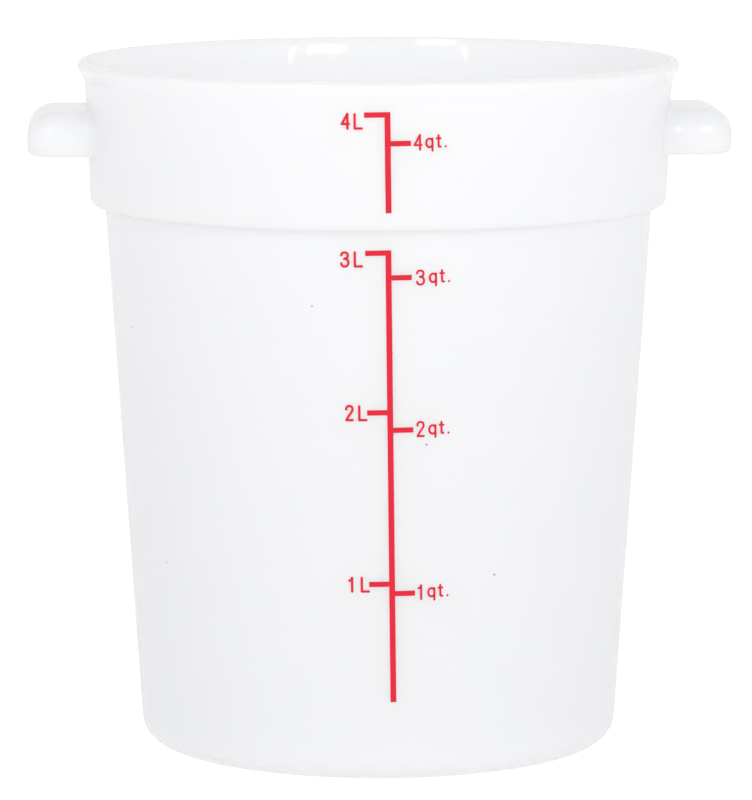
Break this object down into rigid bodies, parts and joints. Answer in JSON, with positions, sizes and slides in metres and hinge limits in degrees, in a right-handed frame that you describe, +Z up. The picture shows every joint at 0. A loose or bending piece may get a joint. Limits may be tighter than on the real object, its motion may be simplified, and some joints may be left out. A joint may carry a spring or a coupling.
{
  "type": "dough proofing container",
  "caption": "Round translucent plastic food tub with a beaded open mouth, stacking shoulder, moulded side handles and a printed red fill scale in litres and quarts.",
  "frame": {"origin": "centre of the foot ring, on the surface that the tub stands on", "axes": "+Z up along the tub's axis, the handles along X, the printed scale on the -Y side"},
  "size_m": [0.2184, 0.1874, 0.2146],
  "materials": {
    "tub_plastic": "glossy injection-moulded natural white plastic, slightly translucent",
    "scale_ink": "red screen-printed ink"
  },
  "bodies": {
    "root": {"tub": "tub_plastic", "upper_scale": "scale_ink", "lower_scale": "scale_ink"}
  },
  "joints": []
}
